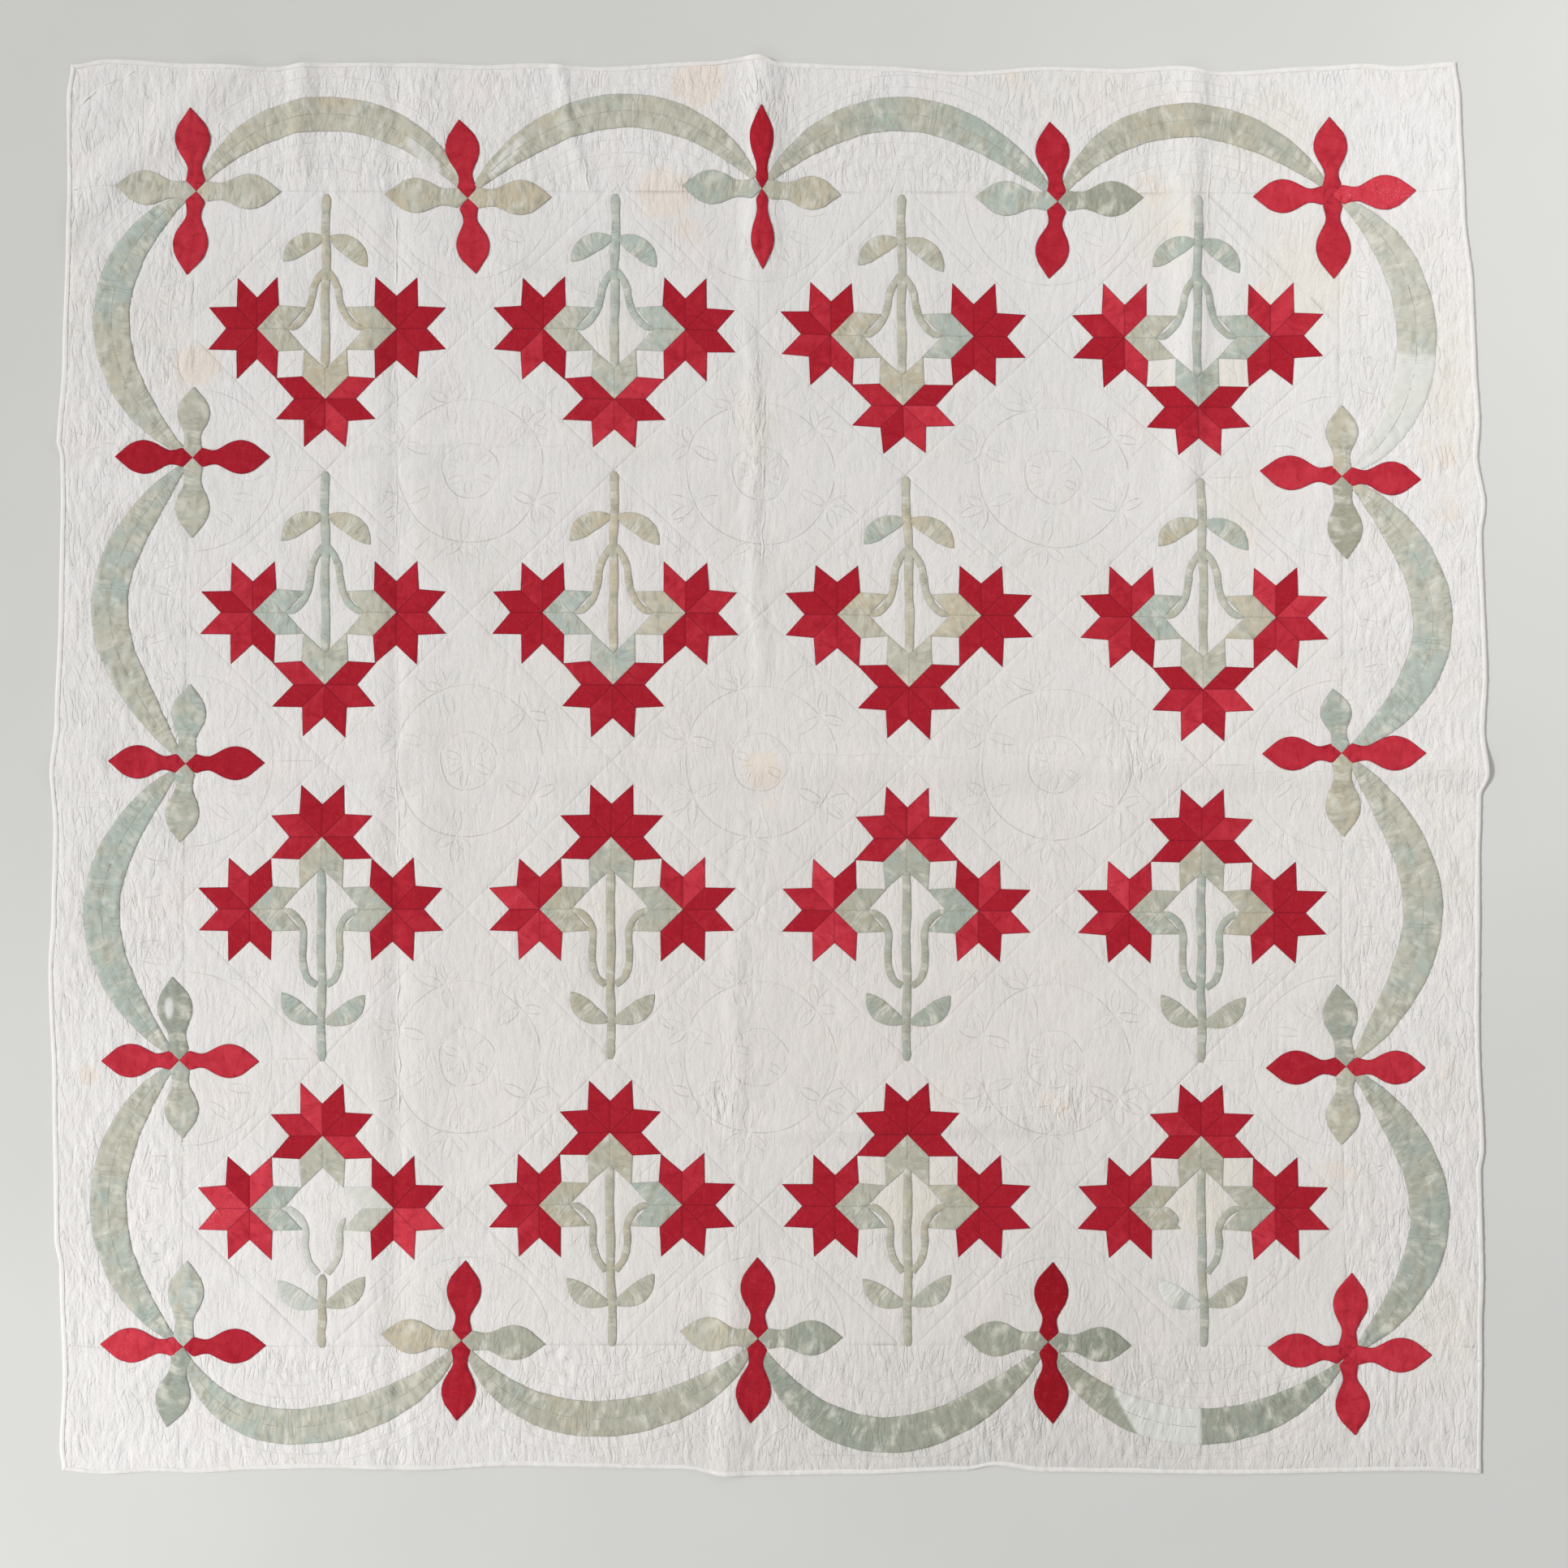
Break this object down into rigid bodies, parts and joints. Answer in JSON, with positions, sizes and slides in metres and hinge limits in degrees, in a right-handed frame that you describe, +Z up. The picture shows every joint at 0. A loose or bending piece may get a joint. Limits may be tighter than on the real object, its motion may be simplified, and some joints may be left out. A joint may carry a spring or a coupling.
{
  "type": "lily pattern quilt",
  "caption": "Square patchwork bed quilt laid out flat, a thin quilted sheet with soft fold ridges and a bound edge.",
  "frame": {"origin": "middle of the quilt, on the surface it lies on", "axes": "+X to the quilt's right, +Y to its top edge, +Z up out of its face"},
  "size_m": [2.1224, 2.0948, 0.013],
  "materials": {
    "quilted_cotton": "off-white plain-weave cotton, hand quilted, softly puckered",
    "binding_cotton": "creamy white cotton binding, worn and slightly yellowed",
    "red_cotton": "turkey red plain-weave cotton, lightly faded in places",
    "sage_cotton": "faded green cotton, blotched from sage to blue-green and tan"
  },
  "bodies": {
    "root": {"quilt_body": "quilted_cotton", "binding_bottom": "binding_cotton", "binding_right": "binding_cotton", "binding_top": "binding_cotton", "binding_left": "binding_cotton"}
  },
  "joints": []
}
